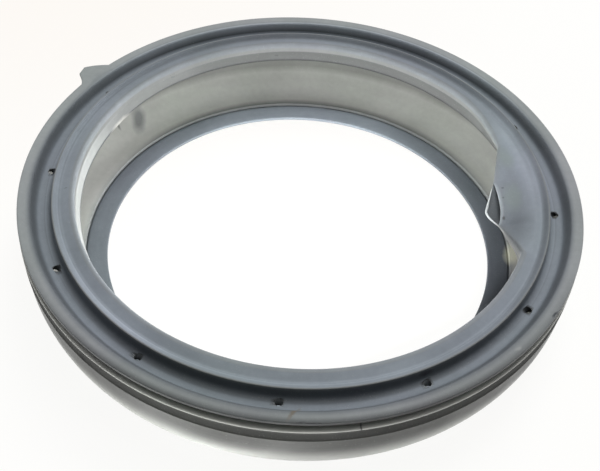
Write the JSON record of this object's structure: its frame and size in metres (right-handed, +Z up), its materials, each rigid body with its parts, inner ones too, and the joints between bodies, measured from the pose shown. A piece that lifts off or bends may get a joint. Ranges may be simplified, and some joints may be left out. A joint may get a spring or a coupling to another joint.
{
  "type": "washing machine door seal",
  "caption": "Moulded grey rubber door bellows: clamping rim with drain channel, inner ring with hanging skirt and duckbill nozzle, hollow bowl and sealing ring.",
  "frame": {"origin": "on the seal's axis, in the plane of the flat underside that it lies on", "axes": "+Z up along the seal's axis towards the clamping rim; the duckbill nozzle is on the +X side and the locating tab is between -X and +Y"},
  "size_m": [0.39, 0.39, 0.0641],
  "materials": {
    "grey_rubber": "satin moulded rubber, smoother and glossier inside"
  },
  "bodies": {
    "root": {"door_seal": "grey_rubber"}
  },
  "joints": []
}
